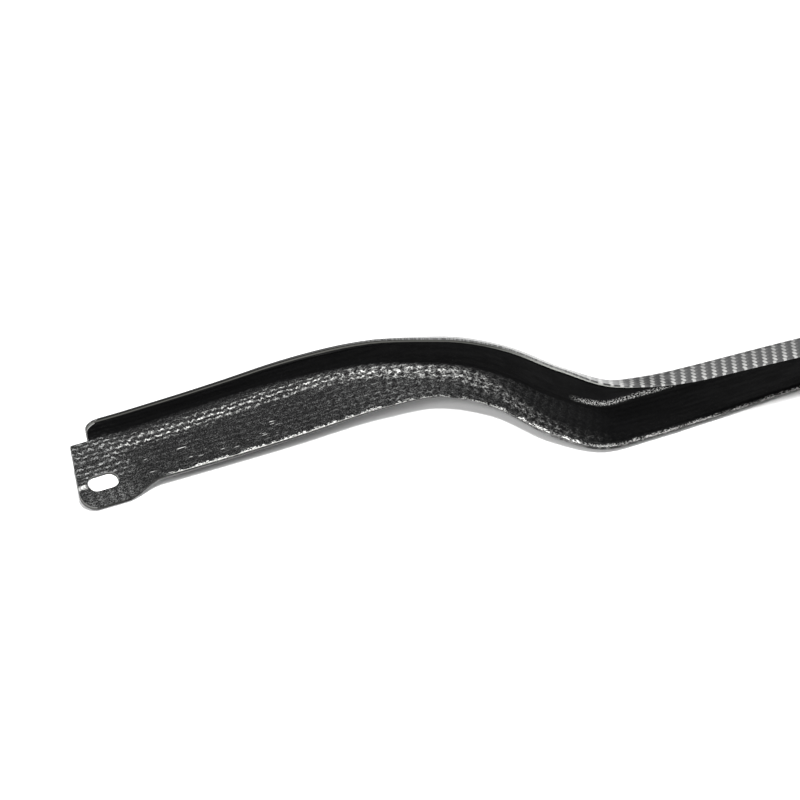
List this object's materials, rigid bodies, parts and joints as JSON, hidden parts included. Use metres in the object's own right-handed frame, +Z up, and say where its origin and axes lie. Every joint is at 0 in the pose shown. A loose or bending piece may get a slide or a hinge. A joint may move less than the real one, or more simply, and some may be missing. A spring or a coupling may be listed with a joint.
{
  "type": "carbon-fibre front bumper lip",
  "caption": "Long thin moulded carbon-fibre lip with a turned-back top flange, waisted wings, a bowed middle and a slotted ear at each end.",
  "frame": {"origin": "middle of the lip's bounding box in X and Y, on the plane its lower edges rest on", "axes": "+X across the car from the left ear to the right ear, +Y towards the front of the car, +Z up"},
  "size_m": [1.5936, 0.2186, 0.0474],
  "materials": {
    "glossy_twill": "clear-coated 2x2 carbon twill in epoxy",
    "glass_fibre": "glass-fibre cloth in epoxy, sawn at the edges",
    "rough_cloth": "carbon cloth in epoxy with a bagged, rough surface",
    "patch_cloth": "second layer of carbon cloth, wiped with resin"
  },
  "bodies": {
    "root": {"face_ply": "glossy_twill", "glass_core_ply": "glass_fibre", "inner_ply": "rough_cloth", "ear_patch_left": "patch_cloth", "ear_patch_right": "patch_cloth"}
  },
  "joints": []
}
